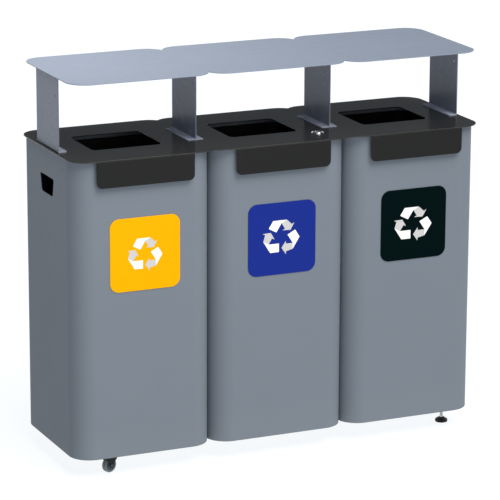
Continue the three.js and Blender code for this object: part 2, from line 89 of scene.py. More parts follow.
# How each sign's print sits: its width and height factors, then its shift to the right and up in mm.
LOOPS = ((0.89, 0.85, -1.6, -1.4), (0.98, 0.90, -3.7, 4.7), (1.04, 0.90, -3.2, 1.0))


# ---- working on a piece ------------------------------------------------------------
def clear_selection():
    """Leaves edit mode and selects nothing, so that an operator acts on one piece only."""
    if bpy.context.object and bpy.context.object.mode != "OBJECT":
        bpy.ops.object.mode_set(mode="OBJECT")
    bpy.ops.object.select_all(action="DESELECT")


def hold(piece):
    clear_selection()
    piece.select_set(True)
    bpy.context.view_layer.objects.active = piece


def settle(piece):
    """Moves the piece's place, turn and scale into its mesh."""
    hold(piece)
    bpy.ops.object.transform_apply(location=True, rotation=True, scale=True)
    return piece


def block(name, low, high):
    """A rectangular blank between two corners."""
    low, high = Vector(low), Vector(high)
    clear_selection()
    bpy.ops.mesh.primitive_cube_add(size=1, location=(low + high) / 2)
    piece = bpy.context.object
    piece.name = piece.data.name = name
    piece.scale = high - low
    return settle(piece)


def bar(name, radius, start, end, sides=32):
    """A round blank from one point to another."""
    start, end = Vector(start), Vector(end)
    clear_selection()
    bpy.ops.mesh.primitive_cylinder_add(
        vertices=sides, radius=radius, depth=(end - start).length, location=(start + end) / 2)
    piece = bpy.context.object
    piece.name = piece.data.name = name
    piece.rotation_mode = "QUATERNION"
    piece.rotation_quaternion = (end - start).to_track_quat("Z", "Y")
    return settle(piece)


def cut_sheet(name, outline, z0, z1):
    """A flat blank cut to an outline: a disc whose rim slides to the outline's points, then made thick."""
    clear_selection()
    bpy.ops.mesh.primitive_circle_add(vertices=len(outline), radius=1, fill_type="NGON")
    piece = bpy.context.object
    piece.name = piece.data.name = name
    for corner, (x, y) in zip(piece.data.vertices, outline):
        corner.co = (x, y, z0)
    bpy.ops.object.mode_set(mode="EDIT")
    bpy.ops.mesh.select_all(action="SELECT")
    bpy.ops.mesh.extrude_region_move(TRANSFORM_OT_translate={"value": (0, 0, z1 - z0)})
    bpy.ops.mesh.select_all(action="SELECT")
    bpy.ops.mesh.normals_make_consistent(inside=False)
    bpy.ops.object.mode_set(mode="OBJECT")
    return piece


def pick(piece, kind, test):
    """Opens the piece in edit mode with only the wanted vertices, edges or faces selected."""
    hold(piece)
    bpy.ops.object.mode_set(mode="EDIT")
    bpy.ops.mesh.select_mode(type={"verts": "VERT", "edges": "EDGE", "faces": "FACE"}[kind])
    bpy.ops.mesh.select_all(action="DESELECT")
    mesh = bmesh.from_edit_mesh(piece.data)
    for item in getattr(mesh, kind):
        if test(item):
            item.select_set(True)
    mesh.select_flush_mode()
    bmesh.update_edit_mesh(piece.data)


def close_edit():
    bpy.ops.object.mode_set(mode="OBJECT")


def middle(item):
    return sum((v.co for v in item.verts), Vector()) / len(item.verts)


def along(edge, axis):
    """True for an edge that runs along X, Y or Z (0, 1 or 2)."""
    run = edge.verts[1].co - edge.verts[0].co
    return abs(run[axis]) > 0.999 * run.length


def near(a, b, reach=0.02 * MM):
    return abs(a - b) < reach


def bevel(piece, test, width, cuts):
    pick(piece, "edges", test)
    bpy.ops.mesh.bevel(offset=width, segments=cuts, affect="EDGES")
    close_edit()


def modify(piece, kind, **settings):
    """Adds a modifier with its settings and applies it."""
    hold(piece)
    modifier = piece.modifiers.new(kind.lower(), kind)
    for name, value in settings.items():
        setattr(modifier, name, value)
    bpy.ops.object.modifier_apply(modifier=modifier.name)


def carve(piece, tool, operation="DIFFERENCE"):
    """Cuts the tool out of the piece, or joins it on, and throws the tool away."""
    modify(piece, "BOOLEAN", object=tool, operation=operation, solver="EXACT")
    bpy.data.objects.remove(tool, do_unlink=True)


def merge(first, *others):
    """Several blanks become one piece, each keeping its own closed surface."""
    clear_selection()
    for piece in (*others, first):
        piece.select_set(True)
    bpy.context.view_layer.objects.active = first
    bpy.ops.object.join()
    return first


def soften(piece, width=EDGE_ROUND, cuts=2, angle=30):
    """Rounds the sharp edges a little and smooths what is left."""
    modify(piece, "BEVEL", width=width, segments=cuts, limit_method="ANGLE",
           angle_limit=math.radians(angle), harden_normals=False)
    return smooth(piece, angle)


def smooth(piece, angle=35):
    """Smooth shading that keeps the edges sharper than an angle."""
    hold(piece)
    bpy.ops.object.shade_smooth_by_angle(angle=math.radians(angle))
    return piece


def facing(direction, at=(0, 0, 0)):
    """The place that turns a piece built along Z to look along a direction."""
    turn = Vector(direction).to_track_quat("Z", "Y").to_matrix().to_4x4()
    return Matrix.Translation(Vector(at)) @ turn


def put(piece, place):
    """Moves a piece that was built at the origin to its place."""
    piece.matrix_world = place
    return settle(piece)


def turned(name, profile, steps=40):
    """A lathe piece about Z from a closed profile of (radius, height) points in mm, anticlockwise."""
    clear_selection()
    bpy.ops.mesh.primitive_circle_add(vertices=len(profile), radius=1, fill_type="NOTHING")
    piece = bpy.context.object
    piece.name = piece.data.name = name
    for point, (r, z) in zip(piece.data.vertices, profile):
        point.co = (r * MM, 0, z * MM)
    pick(piece, "edges", lambda e: all(near(v.co.x, 0, 0.0001 * MM) for v in e.verts))
    bpy.ops.mesh.delete(type="EDGE")
    bpy.ops.mesh.select_all(action="SELECT")
    bpy.ops.mesh.spin(steps=steps, angle=2 * math.pi, center=(0, 0, 0), axis=(0, 0, 1))
    bpy.ops.mesh.select_all(action="SELECT")
    bpy.ops.mesh.remove_doubles(threshold=0.005 * MM)
    bpy.ops.mesh.normals_make_consistent(inside=False)
    close_edit()
    return smooth(piece)


def repeated(piece, places):
    """Copies of one finished piece at each place, joined; the first place takes the piece itself."""
    copies = []
    for place in places[1:]:
        copy = piece.copy()
        copy.data = piece.data.copy()
        SCENE.collection.objects.link(copy)
        copies.append(put(copy, place))
    return merge(put(piece, places[0]), *copies)


def screw(name, head, height, socket):
    """Button-head screw, in mm: a domed head with a hexagon socket, its seat at Z = 0."""
    shank, depth = head * 0.45, 2
    profile = [(0, -depth), (shank, -depth), (shank, 0), (head, 0)]
    profile += [(head * x, height * (0.3 + 0.7 * y)) for x, y in arc(0, 0, 1, 0, 90, 6)]
    piece = turned(name, profile, 24)
    carve(piece, bar("hexagon_cutter", socket * MM, (0, 0, height * 0.35 * MM), (0, 0, height * 2 * MM), 6))
    return smooth(piece)


def give(piece, material, body, slot, *replaced):
    """Gives the piece its material and the body it rides on, and hides the frame's nodes it stands for; the
    finish name in slot is not used.
    """
    modify(piece, "WEIGHTED_NORMAL", keep_sharp=True, weight=80)
    piece.data.materials.clear()
    piece.data.materials.append(material)
    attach(piece, body)
    if replaced:
        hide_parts(*replaced)
    return piece


# ---- materials ---------------------------------------------------------------------
class Finish:
    """A procedural material: a shader and small helpers for the nodes that feed it."""

    def __init__(self, name, colour, roughness, metallic=0.0, gloss=0.5):
        self.material = bpy.data.materials.new(name)
        self.material.use_nodes = True
        self.tree = self.material.node_tree
        self.shader = self.tree.nodes["Principled BSDF"]
        self.shader.inputs["Base Color"].default_value = (*colour, 1)
        self.shader.inputs["Roughness"].default_value = roughness
        self.shader.inputs["Metallic"].default_value = metallic
        self.shader.inputs["Specular IOR Level"].default_value = gloss
        self.place = self.tree.nodes.new("ShaderNodeTexCoord").outputs["Object"]
        self.material.diffuse_color = (*colour, 1)

    def node(self, kind, **inputs):
        node = self.tree.nodes.new(kind)
        for name, value in inputs.items():
            socket = node.inputs[name.replace("_", " ")]
            if hasattr(value, "is_output"):
                self.tree.links.new(value, socket)
            else:
                socket.default_value = value
        return node

    def noise(self, scale, detail=2.0, stretch=(1, 1, 1)):
        place = self.node("ShaderNodeMapping", Vector=self.place, Scale=stretch).outputs["Vector"]
        return self.node("ShaderNodeTexNoise", Vector=place, Scale=scale, Detail=detail).outputs["Fac"]

    def remap(self, value, low, high, start=0.35, stop=0.65):
        node = self.node("ShaderNodeMapRange", Value=value)
        for name, number in zip(("From Min", "From Max", "To Min", "To Max"), (start, stop, low, high)):
            node.inputs[name].default_value = number
        return node.outputs["Result"]

    def blend(self, factor, first, second):
        node = self.tree.nodes.new("ShaderNodeMix")
        node.data_type = "RGBA"
        self.tree.links.new(factor, node.inputs["Factor"])
        for socket, value in ((node.inputs[6], first), (node.inputs[7], second)):
            if hasattr(value, "is_output"):
                self.tree.links.new(value, socket)
            else:
                socket.default_value = (*value[:3], 1)
        return node.outputs[2]

    def colour(self, output):
        self.tree.links.new(output, self.shader.inputs["Base Color"])

    def roughness(self, output):
        self.tree.links.new(output, self.shader.inputs["Roughness"])

    def bump(self, height, depth, strength=1.0):
        node = self.node("ShaderNodeBump", Height=height, Strength=strength, Distance=depth)
        self.tree.links.new(node.outputs["Normal"], self.shader.inputs["Normal"])


DUST = (0.30, 0.29, 0.27)
DUST_FROM, DUST_TO = 62 * MM, 160 * MM
# How far above its height the painted light fades out.
PAINTED_LIGHT_FADE = 3 * MM


def tinted(colour, factor):
    return tuple(min(1.0, c * factor) for c in colour)


def powder_coat(name, colour, roughness, speckle=0.05, peel=0.05, gloss=0.5, dust=0.0, wear_and_painted_light=0.0):
    """Baked paint: orange peel (its depth in mm), fine sparkle and faint changes of tone.

    Dust lies on the lowest part; below the height given last, the colour is lightened as painted light.
    """
    finish = Finish(name, colour, roughness, 0.0, gloss)
    cloud = finish.remap(finish.noise(3, 3.0), 0, 1)
    toned = finish.blend(cloud, tinted(colour, 0.985), tinted(colour, 1.015))
    sparkle = finish.remap(finish.noise(900, 1.0), 0, 1, 0.5, 0.75)
    coat = finish.blend(sparkle, toned, tinted(colour, 1 + 4 * speckle))
    if dust:
        height = finish.node("ShaderNodeSeparateXYZ", Vector=finish.place).outputs["Z"]
        film = finish.remap(height, dust, 0.0, DUST_FROM, DUST_TO)
        coat = finish.blend(film, coat, DUST)
    # Painted light: the colour is lightened below the given height.
    if wear_and_painted_light:
        height = finish.node("ShaderNodeSeparateXYZ", Vector=finish.place).outputs["Z"]
        lit_flange = finish.remap(height, 0.8, 0.0, wear_and_painted_light, wear_and_painted_light + PAINTED_LIGHT_FADE)
        coat = finish.blend(lit_flange, coat, tinted(colour, 2.2))
    finish.colour(coat)
    finish.roughness(finish.remap(finish.noise(25, 2.0), roughness - 0.015, roughness + 0.02))
    finish.bump(finish.noise(520, 1.0), peel * MM, 0.4)
    return finish.material


def moulded(name, colour, roughness, gloss=0.4):
    """Moulded plastic or rubber with a fine grain and handling marks."""
    finish = Finish(name, colour, roughness, 0.0, gloss)
    wear_and_painted_light = finish.remap(finish.noise(9, 4.0), 0, 1)
    finish.colour(finish.blend(wear_and_painted_light, tinted(colour, 0.85), tinted(colour, 1.25)))
    finish.roughness(finish.remap(finish.noise(30, 4.0), roughness - 0.06, roughness + 0.06))
    finish.bump(finish.noise(1400, 1.0), 0.06 * MM, 0.5)
    return finish.material


def metal(name, colour, roughness, stretch=(1, 1, 1), spangle=False):
    """Bare or plated steel with drawn lines and, on zinc plate, a soft spangle."""
    finish = Finish(name, colour, roughness, 1.0)
    lines = finish.noise(260, 3.0, stretch)
    tone = finish.blend(finish.remap(lines, 0, 1), tinted(colour, 0.9), tinted(colour, 1.06))
    if spangle:
        cells = finish.node("ShaderNodeTexVoronoi", Vector=finish.place, Scale=170.0).outputs["Color"]
        grey = finish.node("ShaderNodeRGBToBW", Color=cells).outputs["Val"]
        tone = finish.blend(finish.remap(grey, 0, 0.5, 0.2, 0.8), tone, tinted(colour, 1.2))
    finish.colour(tone)
    finish.roughness(finish.remap(finish.noise(70, 4.0), roughness - 0.05, roughness + 0.08))
    finish.bump(lines, 0.02 * MM, 0.3)
    return finish.material


GREY_PAINT = powder_coat("grey_powder_coat", (0.159, 0.184, 0.217), 0.5, gloss=0.05, dust=0.05)
SILVER_PAINT = powder_coat("silver_powder_coat", (0.200, 0.234, 0.305), 0.4, speckle=0.09, gloss=0.2)
# Painted light: the posts' foot flanges, up to one sheet above their feet, are lightened where the canopy
# shades them.
POST_PAINT = powder_coat("silver_post_coat", (0.185, 0.200, 0.250), 0.26, speckle=0.04, peel=0.01,
                         gloss=0.06, wear_and_painted_light=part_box("canopy_post_1")[0].z + SHEET)
BLACK_PAINT = powder_coat("black_powder_coat", (0.012, 0.012, 0.0105), 0.2, speckle=0.05, peel=0.01)
LIP_PAINT = powder_coat("black_lip_coat", (0.009, 0.009, 0.009), 0.42, speckle=0.06, gloss=0.18)
YELLOW_SIGN = powder_coat("yellow_sign_face", (0.80, 0.372, 0.0003), 0.5,
                          speckle=0.01, peel=0.01, gloss=0.03)
BLUE_SIGN = powder_coat("blue_sign_face", (0.0085, 0.0225, 0.215), 0.5,
                        speckle=0.02, peel=0.01, gloss=0.06)
GREEN_SIGN = powder_coat("black_green_sign_face", (0.0002, 0.0045, 0.0050), 0.5,
                         speckle=0.02, peel=0.01, gloss=0.02)
WHITE_PRINT = powder_coat("white_print", (0.86, 0.86, 0.86), 0.5, speckle=0.01, peel=0.005, gloss=0.2)
GREY_PRINT = powder_coat("light_grey_print", (0.52, 0.51, 0.51), 0.5, speckle=0.01, peel=0.005, gloss=0.2)
STRUT_PAINT = powder_coat("gloss_black_strut", (0.012, 0.012, 0.013), 0.18, speckle=0.02, peel=0.01)
# The liner is black plastic made darker still, as painted shade that keeps the feed openings black inside.
LINER_PLASTIC_AND_SHADE = moulded("black_liner_plastic_and_painted_shade", (0.0022, 0.0022, 0.0023), 0.65, 0.15)
BLACK_NYLON = moulded("black_nylon", (0.006, 0.006, 0.006), 0.5, 0.25)
GREY_RUBBER = moulded("grey_wheel_rubber", (0.13, 0.16, 0.18), 0.5)
ZINC = metal("zinc_plate", (0.62, 0.63, 0.64), 0.32, spangle=True)
STEEL = metal("bright_steel", (0.74, 0.75, 0.76), 0.16, stretch=(1, 1, 6))
DARK_STEEL = metal("dark_steel", (0.10, 0.10, 0.105), 0.35)
SATIN_STEEL = metal("satin_steel", (0.30, 0.30, 0.32), 0.38)
SIGN_FACES = (YELLOW_SIGN, BLUE_SIGN, GREEN_SIGN)


# ---- outlines ----------------------------------------------------------------------
def arc(cx, cy, r, start, stop, cuts=CORNER_CUTS):
    """Points on an arc, in degrees, anticlockwise."""
    steps = max(1, round(cuts * abs(stop - start) / 90))
    angles = (math.radians(start + (stop - start) * i / steps) for i in range(steps + 1))
    return [(cx + r * math.cos(a), cy + r * math.sin(a)) for a in angles]


def lobed(low, high, r, dip, joints):
    """Three lobes in a row with a dip between neighbours, as the plate and the canopy have."""
    turn = math.degrees(math.acos(1 - dip / r))
    reach = r * math.sin(math.radians(turn))
    points = arc(low.x + r, low.y + r, r, 180, 270)
    for x in joints:
        points += arc(x - reach, low.y + r, r, 270, 270 + turn)
        points += arc(x + reach, low.y + r, r, 270 - turn, 270)[1:]
    points += arc(high.x - r, low.y + r, r, 270, 360)
    points += arc(high.x - r, high.y - r, r, 0, 90)
    for x in reversed(joints):
        points += arc(x + reach, high.y - r, r, 90, 90 + turn)
        points += arc(x - reach, high.y - r, r, 90 - turn, 90)[1:]
    return points + arc(low.x + r, high.y - r, r, 90, 180)


def rounded_tool(name, centre, half, r):
    """A block with its upright corners rounded, to cut an opening."""
    tool = block(name, centre - half, centre + half)
    bevel(tool, lambda e: along(e, 2), r, 8)
    return tool


# ---- casings ------------------------------------------------------------------------
def wrapped_wall(name, low, high, r):
    """An open tube of sheet, bent round four upright corners."""
    wall = block(name, low, high)
    bevel(wall, lambda e: along(e, 2), r, CORNER_CUTS)
    pick(wall, "faces", lambda f: abs(f.normal.z) > 0.9)
    bpy.ops.mesh.delete(type="ONLY_FACE")
    close_edit()
    return wall


def fold_in(wall, z, width, low, high):
    """Folds a flange inwards from the wall's edge at one height."""
    size = high - low
    centre = (low + high) / 2
    pick(wall, "edges", lambda e: all(near(v.co.z, z) for v in e.verts))
    bpy.ops.mesh.extrude_edges_move()
    bpy.ops.transform.resize(value=((size.x - 2 * width) / size.x, (size.y - 2 * width) / size.y, 1),
                             center_override=(centre.x, centre.y, z))
    close_edit()


def keep_side(piece, y, front):
    """Parts the piece across at y and keeps its front or its rear."""
    pick(piece, "faces", lambda f: True)
    bpy.ops.mesh.bisect(plane_co=(0, y, 0), plane_no=(0, 1, 0), clear_outer=front, clear_inner=not front)
    close_edit()


def hand_hole_tool(x):
    """Cutter for the hand hole: wider at the top, all corners round."""
    outline = [(-HAND_HOLE_BOTTOM, -HAND_HOLE_HALF_HEIGHT), (HAND_HOLE_BOTTOM, -HAND_HOLE_HALF_HEIGHT),
               (HAND_HOLE_TOP, HAND_HOLE_HALF_HEIGHT), (-HAND_HOLE_TOP, HAND_HOLE_HALF_HEIGHT)]
    tool = cut_sheet("hand_hole_cutter", outline, -20 * MM, 20 * MM)
    bevel(tool, lambda e: along(e, 2), HAND_HOLE_CORNER, 8)
    return put(tool, Matrix.Translation((x, HAND_HOLE_Y, HAND_HOLE_Z)) @ UPRIGHT)


def make_casing(number):
    """A casing in two halves that meet at a seam in the middle of each side."""
    low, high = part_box(f"module_{number}_front_casing")[0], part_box(f"module_{number}_rear_casing")[1]
    hem = 9 * MM
    for side in ("front", "rear"):
        node = f"module_{number}_{side}_casing"
        wall = wrapped_wall(f"{side}_casing_{number}", low, high, CASING_CORNER)
        fold_in(wall, low.z, hem, low, high)
        bevel(wall, lambda e: all(near(v.co.z, low.z) for v in e.verts) and len(e.link_faces) == 2
              and any(abs(f.normal.z) < 0.1 for f in e.link_faces), 2 * MM, 3)
        keep_side(wall, GAP / 2 * (-1 if side == "front" else 1), side == "front")
        modify(wall, "SOLIDIFY", thickness=CASING_SHEET, offset=-1, use_even_offset=True)
        if number == MODULES[0]:
            carve(wall, hand_hole_tool(low.x))
        if number == MODULES[-1]:
            carve(wall, hand_hole_tool(high.x))
        soften(wall, SEAM_ROUND, 3)
        give(wall, GREY_PAINT, "root", "grey_paint", node)


def make_top_rim(number):
    """Angle rim inside the casing's mouth that the top rests on."""
    low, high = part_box(f"module_{number}_top_rim")
    rim = wrapped_wall(f"top_rim_{number}", low, high, CASING_CORNER - CASING_SHEET - GAP)
    fold_in(rim, high.z, RIM_FLANGE, low, high)
    modify(rim, "SOLIDIFY", thickness=CASING_SHEET, offset=-1, use_even_offset=True)
    soften(rim)
    give(rim, ZINC, "root", "zinc_plate", f"module_{number}_top_rim")


def make_floor_tray(number):
    """Pressed floor with an upstand all round and slots for water to leave."""
    low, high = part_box(f"module_{number}_floor_tray")
    tray = block(f"floor_tray_{number}", low, high)
    bevel(tray, lambda e: along(e, 2), CASING_CORNER - CASING_SHEET - GAP, CORNER_CUTS)
    pick(tray, "faces", lambda f: f.normal.z > 0.9)
    bpy.ops.mesh.delete(type="ONLY_FACE")
    close_edit()
    bevel(tray, lambda e: len(e.link_faces) == 2 and all(near(v.co.z, low.z) for v in e.verts), 3 * MM, 3)
    modify(tray, "SOLIDIFY", thickness=TRAY_SHEET, offset=-1, use_even_offset=True)
    centre = (low + high) / 2
    for step in (-1, 0, 1):
        middle_of_slot = Vector((centre.x + step * DRAIN_PITCH, centre.y, low.z))
        carve(tray, rounded_tool("drain_cutter", middle_of_slot, Vector((4, 45, 12)) * MM, 3.9 * MM))
    if number == MODULES[-1]:
        for foot in ("front", "rear"):
            stud_low, stud_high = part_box(f"foot_{foot}_stud")
            at = (stud_low + stud_high) / 2
            drop = Vector((0, 0, 10 * MM))
            at.z = low.z
            carve(tray, bar("stud_cutter", 6 * MM, at - drop, at + drop))
    soften(tray)
    give(tray, ZINC, "root", "zinc_plate", f"module_{number}_floor_tray")


def make_liner(number):
    """Lift-out liner: tapered, with a rim that turns out and down."""
    low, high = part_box(f"module_{number}_liner")
    rim, corner, taper = 9 * MM, 45 * MM, 0.9
    inset = Vector((rim, rim, 0))
    liner = block(f"liner_{number}", low + inset, high - inset)
    bevel(liner, lambda e: along(e, 2), corner, 10)
    pick(liner, "verts", lambda v: near(v.co.z, low.z))
    centre = (low + high) / 2
    bpy.ops.transform.resize(value=(taper, taper, 1), center_override=(centre.x, centre.y, low.z))
    close_edit()
    bevel(liner, lambda e: all(near(v.co.z, low.z) for v in e.verts), 10 * MM, 4)
    pick(liner, "faces", lambda f: f.normal.z > 0.9)
    bpy.ops.mesh.delete(type="ONLY_FACE")
    close_edit()
    fold_in(liner, high.z, -rim + 0.5 * MM, low + inset, high - inset)
    pick(liner, "edges", lambda e: len(e.link_faces) == 1)
    bpy.ops.mesh.extrude_edges_move(TRANSFORM_OT_translate={"value": (0, 0, -9 * MM)})
    close_edit()
    bevel(liner, lambda e: all(near(v.co.z, high.z) for v in e.verts) and len(e.link_faces) == 2
          and near(sum(abs(f.normal.z) for f in e.link_faces), 1, 0.4), 2 * MM, 3)
    modify(liner, "SOLIDIFY", thickness=LINER_WALL, offset=-1, use_even_offset=True)
    soften(liner, 0.6 * MM)
    give(liner, LINER_PLASTIC_AND_SHADE, "root", "liner_plastic", f"module_{number}_liner")


# ---- top plate and lips -----------------------------------------------------------------
def module_joints():
    return [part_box(f"module_{n}_front_casing")[1].x + GAP / 2 for n in MODULES[:-1]]


def make_top_plate():
    """Lobed top with the three feed openings and the lock's hole."""
    low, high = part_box("top_plate")
    outline = lobed(low, high, PLATE_CORNER, PLATE_DIP, module_joints())
    plate = cut_sheet("top_plate_sheet", outline, low.z, high.z)
    for number in MODULES:
        box_low, box_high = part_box(f"module_{number}_liner")
        centre = Vector(((box_low.x + box_high.x) / 2, 0, high.z))
        carve(plate, rounded_tool("feed_cutter", centre, FEED_HALF, FEED_CORNER))
    lock_low, lock_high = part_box("lock_case")
    at = (lock_low + lock_high) / 2
    carve(plate, bar("lock_cutter", LOCK_HOLE, (at.x, at.y, low.z - SHEET), (at.x, at.y, high.z + SHEET)))
    soften(plate, 0.7 * MM, 3)
    give(plate, BLACK_PAINT, "lid", "black_paint", "top_plate")


def make_front_lip(number):
    """Hanging lip: round lower corners, folded back under the plate at the top."""
    low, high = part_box(f"front_lip_{number}")
    lip = block(f"front_lip_sheet_{number}", low, (high.x, low.y + LIP_SHEET, high.z))
    bevel(lip, lambda e: along(e, 1) and near(middle(e).z, low.z), LIP_CORNER, 10)
    pick(lip, "faces", lambda f: True)
    bpy.ops.mesh.bisect(plane_co=(0, 0, high.z - LIP_SHEET), plane_no=(0, 0, 1))
    close_edit()
    pick(lip, "faces", lambda f: f.normal.y > 0.9 and middle(f).z > high.z - LIP_SHEET)
    bpy.ops.mesh.extrude_region_move(TRANSFORM_OT_translate={"value": (0, high.y - low.y - LIP_SHEET, 0)})
    close_edit()
    bevel(lip, lambda e: along(e, 0) and near(middle(e).z, high.z) and near(middle(e).y, low.y), 2.5 * MM, 4)
    bevel(lip, lambda e: along(e, 0) and near(middle(e).z, high.z - LIP_SHEET)
          and near(middle(e).y, low.y + LIP_SHEET), 1 * MM, 3)
    soften(lip, 0.4 * MM)
    give(lip, LIP_PAINT, "lid", "black_paint", f"front_lip_{number}")


# ---- posts and canopy -----------------------------------------------------------------------
def post_leaf(name, face, side, low, high, thick):
    """One bent sheet: an upright with a foot and a head flange on one side."""
    x0, x1 = sorted((face, face + side * thick))
    leaf = block(name, (x0, low.y, low.z), (x1, high.y, high.z))
    for z, way in ((low.z + thick, -1), (high.z - thick, 1)):
        pick(leaf, "faces", lambda f: True)
        bpy.ops.mesh.bisect(plane_co=(0, 0, z), plane_no=(0, 0, 1))
        close_edit()
        pick(leaf, "faces", lambda f: f.normal.x * side > 0.9 and (middle(f).z - z) * way > 0)
        reach = (high.x if side > 0 else low.x) - (face + side * thick)
        bpy.ops.mesh.extrude_region_move(TRANSFORM_OT_translate={"value": (reach, 0, 0)})
        close_edit()
    inner, outer = face + side * thick, face
    tip = high.x if side > 0 else low.x
    bevel(leaf, lambda e: along(e, 1) and near(middle(e).x, inner)
          and (near(middle(e).z, low.z + thick) or near(middle(e).z, high.z - thick)), BEND, 4)
    bevel(leaf, lambda e: along(e, 1) and near(middle(e).x, outer)
          and (near(middle(e).z, low.z) or near(middle(e).z, high.z)), BEND + thick * 0.5, 5)
    bevel(leaf, lambda e: along(e, 2) and near(middle(e).x, tip) and e.calc_length() < 2 * thick, 6 * MM, 5)
    return leaf


def make_post(number):
    """An end post is one thick sheet; a middle post is two thinner ones back to back."""
    low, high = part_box(f"canopy_post_{number}")
    if high.x - low.x > MIDDLE_POST_OVER:
        face = (low.x + high.x) / 2
        leaves = [post_leaf(f"post_{number}", face, side, low, high, SHEET / 2) for side in (1, -1)]
    else:
        side, face = (1, low.x) if number == 1 else (-1, high.x)
        leaves = [post_leaf(f"post_{number}", face, side, low, high, SHEET)]
    y, z = low.y + POST_HOLE_FROM_FRONT, high.z - POST_HOLE_BELOW_TOP
    for leaf in leaves:
        ends = (low.x - SHEET, y, z), (high.x + SHEET, y, z)
        carve(leaf, bar("post_hole_cutter", POST_HOLE_RADIUS, *ends, 24))
        soften(leaf, 0.35 * MM)
    give(merge(*leaves), POST_PAINT, "lid", "silver_paint", f"canopy_post_{number}")


def make_canopy():
    """Lobed sheet over the posts, with deeper dips than the plate's."""
    low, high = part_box("canopy")
    outline = lobed(low, high, PLATE_CORNER, CANOPY_DIP, module_joints())
    canopy = cut_sheet("canopy_sheet", outline, low.z, high.z)
    soften(canopy, 0.7 * MM, 3)
    give(canopy, SILVER_PAINT, "lid", "silver_paint", "canopy")


# ---- signs ------------------------------------------------------------------------------------
def loop_parts():
    """One of the loop's three bent arrows, in mm about the loop's centre: its tail and its head outlines."""
    band, top, tail, barb, point = 30, 58, 17, 10, 15
    stem, brow, neck_height, slim = 35.5, 18.5, 27.5, 3
    up = Vector((math.cos(math.radians(60)), math.sin(math.radians(60))))
    across = Vector((-up.y, up.x))
    down = Vector((up.x, -up.y))
    beside = Vector((-down.y, down.x))
    heel_in = Vector((-16, tail))
    heel_out = heel_in + across * band
    shoulder = heel_out + up * ((top - heel_out.y) / up.y)
    inner = heel_in + up * stem
    outer = Vector((inner.x + brow, top))
    fall = (inner.y - neck_height) / -down.y
    neck_in = inner + down * fall
    neck_out = neck_in + beside * (band - slim)
    barb_in, barb_out = neck_in - beside * barb, neck_out + beside * barb
    tip = (barb_in + barb_out) / 2 + down * point
    head = [inner, neck_in, barb_in, tip, barb_out, neck_out, outer]
    return [heel_out, heel_in, inner, outer, shoulder], head


def make_sign(number):
    """Square plate with round corners and a raised print of three bent arrows."""
    low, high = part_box(f"sign_plate_{number}")
    sign = block(f"sign_{number}", low, high)
    bevel(sign, lambda e: along(e, 1), SIGN_CORNER, CORNER_CUTS)
    soften(sign, 0.45 * MM, 3)
    slot = ("sign_yellow", "sign_blue", "sign_green")[number - 1]
    give(sign, SIGN_FACES[number - 1], "root", slot, f"sign_plate_{number}")
    wide, tall, right, up = LOOPS[number - 1]
    centre = (low + high) / 2 + Vector((right, 0, up)) * MM
    for part, name, material in zip(loop_parts(), ("tail", "head"), (WHITE_PRINT, GREY_PRINT)):
        prints = []
        for turn in (0, 120, 240):
            turned_part = [Matrix.Rotation(math.radians(turn), 2) @ p * MM for p in part]
            points = [(p.x * wide, p.y * tall) for p in turned_part]
            prints.append(cut_sheet(f"sign_{number}_arrow_{name}s", points, 0, LOOP_PRINT))
        upright = Matrix.Rotation(math.pi / 2, 4, "X")
        place = Matrix.Translation((centre.x, low.y, centre.z)) @ upright
        give(put(merge(*prints), place), material, "root", slot)


# ---- hinges -------------------------------------------------------------------------------------
HINGE_KNUCKLE = 6 * MM
HINGE_SIDE = 60 * MM
KNUCKLE_PLAY = 0.5 * MM
HINGE_PIN = 2.4 * MM
HINGE_SCREW_PITCH = 45 * MM
HINGE_SCREW_HEIGHT = 18 * MM


def knuckle(name, x0, x1, centre):
    """A rolled barrel of the hinge round the pin, its ends a little chamfered."""
    barrel = bar(name, HINGE_KNUCKLE, (x0, centre.y, centre.z), (x1, centre.y, centre.z), 40)
    bevel(barrel, lambda e: not along(e, 0), 0.5 * MM, 2)
    return barrel


